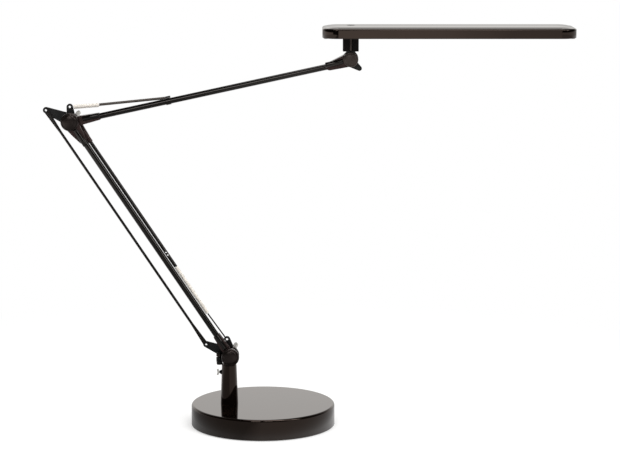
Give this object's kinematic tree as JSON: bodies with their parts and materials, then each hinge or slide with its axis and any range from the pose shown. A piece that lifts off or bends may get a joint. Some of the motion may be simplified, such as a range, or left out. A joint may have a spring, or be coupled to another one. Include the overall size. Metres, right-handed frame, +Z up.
{
  "type": "folding led desk lamp",
  "caption": "Desk lamp with a round weighted foot, a short post, spring-balanced folding arms with a tie rod, and a long flat head that tilts and turns.",
  "frame": {"origin": "centre of the round base's underside, on the table", "axes": "+Z up, +X towards the head, +Y to the rear, where the wing nuts are; the pivots of both arms lie along Y"},
  "size_m": [0.7414, 0.204, 0.5677],
  "materials": {
    "gloss_shell": "high gloss",
    "cast_iron": "rough casting",
    "zinc_steel": "zinc plated",
    "rubber": "matte",
    "bronze_paint": "semi-gloss dark bronze",
    "black_paint": "satin black",
    "black_plastic": "satin moulded",
    "nickel": "nickel plated",
    "dark_wire": "dark spring steel",
    "fibre": "matte",
    "lead_jacket": "matte",
    "opal": "satin opal",
    "clear_guide": "clear acrylic",
    "white_board": "solder mask",
    "led_yellow": "phosphor",
    "green_board": "solder mask"
  },
  "bodies": {
    "base": {"base_cover": "gloss_shell", "base_weight": "cast_iron", "base_plate": "zinc_steel", "base_pad": "rubber", "base_screws": "zinc_steel", "post": "bronze_paint", "post_bolt": "zinc_steel", "post_bolt_washer": "zinc_steel", "screw_boss": "black_plastic"},
    "wing_screw": {"post_wing_screw": "nickel"},
    "swivel": {"swivel_yoke": "bronze_paint", "bracket_plate": "black_paint", "bracket_rivets": "black_paint", "lower_pivot_bolt": "zinc_steel", "lower_cap": "black_plastic", "lower_washers": "fibre", "lower_back_washer": "zinc_steel", "cord_gland": "rubber"},
    "lower_nut": {"lower_wing_nut": "nickel"},
    "lower_arm": {"lower_foot": "bronze_paint", "lower_tube": "bronze_paint", "lower_fork": "bronze_paint", "lower_arm_screws": "zinc_steel", "lower_lead": "lead_jacket", "spring_sleeve": "bronze_paint", "lower_spring": "nickel", "elbow_bolt": "zinc_steel", "elbow_cap": "black_plastic", "elbow_washers": "fibre"},
    "spring_hook": {"lower_spring_hook": "dark_wire"},
    "tie_rod": {"tie_rod": "black_paint"},
    "elbow": {"elbow_plate": "black_paint", "elbow_rivets": "black_paint", "elbow_back_washer": "zinc_steel"},
    "elbow_nut": {"elbow_wing_nut": "nickel"},
    "upper_arm": {"upper_foot": "bronze_paint", "upper_tube": "bronze_paint", "upper_fork": "bronze_paint", "upper_arm_screws": "zinc_steel", "upper_lead": "lead_jacket", "upper_spring_rod": "bronze_paint", "upper_rod_band": "bronze_paint", "upper_spring": "nickel", "head_bolt": "zinc_steel", "head_cap": "black_plastic", "head_washers": "fibre"},
    "tilt_knob": {"head_knob": "black_plastic"},
    "knuckle": {"head_knuckle": "bronze_paint", "neck_screw": "zinc_steel"},
    "head": {"neck_bracket": "black_plastic", "head_frame": "black_plastic", "diffuser": "opal", "light_guide": "clear_guide", "led_board": "white_board", "leds": "led_yellow", "driver_board": "green_board", "head_cover": "gloss_shell", "head_screws": "zinc_steel"},
    "button": {"dimmer_button": "black_plastic"}
  },
  "joints": [
    {"name": "base_swivel", "type": "hinge", "parent": "base", "child": "swivel", "pos_m": [-0.048, 0, 0.0855], "axis": [0, 0, 1], "range_deg": [-180, 180]},
    {"name": "post_wing_screw_turn", "type": "hinge", "parent": "base", "child": "wing_screw", "pos_m": [-0.048, 0, 0.075], "axis": [1, 0, 0], "continuous": true},
    {"name": "lower_arm_hinge", "type": "hinge", "parent": "swivel", "child": "lower_arm", "pos_m": [-0.046, 0, 0.0985], "axis": [0, 1, 0], "range_deg": [-8, 45]},
    {"name": "lower_wing_nut_turn", "type": "hinge", "parent": "swivel", "child": "lower_nut", "pos_m": [-0.046, 0, 0.0985], "axis": [0, 1, 0], "continuous": true},
    {"name": "tie_rod_hinge", "type": "hinge", "parent": "swivel", "child": "tie_rod", "pos_m": [-0.081, 0, 0.113], "axis": [0, 1, 0], "range_deg": [-8, 45]},
    {"name": "spring_hook_hinge", "type": "hinge", "parent": "lower_arm", "child": "spring_hook", "pos_m": [-0.07849, 0, 0.15854], "axis": [0, 1, 0], "range_deg": [-3.4, 18.6]},
    {"name": "elbow_plate_hinge", "type": "hinge", "parent": "lower_arm", "child": "elbow", "pos_m": [-0.26788, 0, 0.43372], "axis": [0, 1, 0], "range_deg": [-45, 8]},
    {"name": "elbow_wing_nut_turn", "type": "hinge", "parent": "lower_arm", "child": "elbow_nut", "pos_m": [-0.26788, 0, 0.43372], "axis": [0, 1, 0], "continuous": true},
    {"name": "upper_arm_hinge", "type": "hinge", "parent": "elbow", "child": "upper_arm", "pos_m": [-0.26788, 0, 0.43372], "axis": [0, 1, 0], "range_deg": [-50, 20], "deforming": ["upper_spring"]},
    {"name": "tilt_knob_turn", "type": "hinge", "parent": "upper_arm", "child": "tilt_knob", "pos_m": [0.12359, 0, 0.52066], "axis": [0, 1, 0], "continuous": true},
    {"name": "head_tilt", "type": "hinge", "parent": "upper_arm", "child": "knuckle", "pos_m": [0.12359, 0, 0.52066], "axis": [0, 1, 0], "range_deg": [-25, 90]},
    {"name": "head_swivel", "type": "hinge", "parent": "knuckle", "child": "head", "pos_m": [0.12359, 0, 0.52066], "axis": [0, 0, 1], "range_deg": [-90, 90]},
    {"name": "dimmer_button_press", "type": "slide", "parent": "head", "child": "button", "axis": [0, 0, -1], "range_m": [0, 0.0008], "stiffness_N_per_m": 500, "springref_m": -0.001}
  ],
  "couplings": [
    {"joint": "elbow_plate_hinge", "follows": "lower_arm_hinge", "ratio": -1},
    {"joint": "tie_rod_hinge", "follows": "lower_arm_hinge", "ratio": 1},
    {"joint": "spring_hook_hinge", "follows": "lower_arm_hinge", "ratio": 0.41}
  ]
}
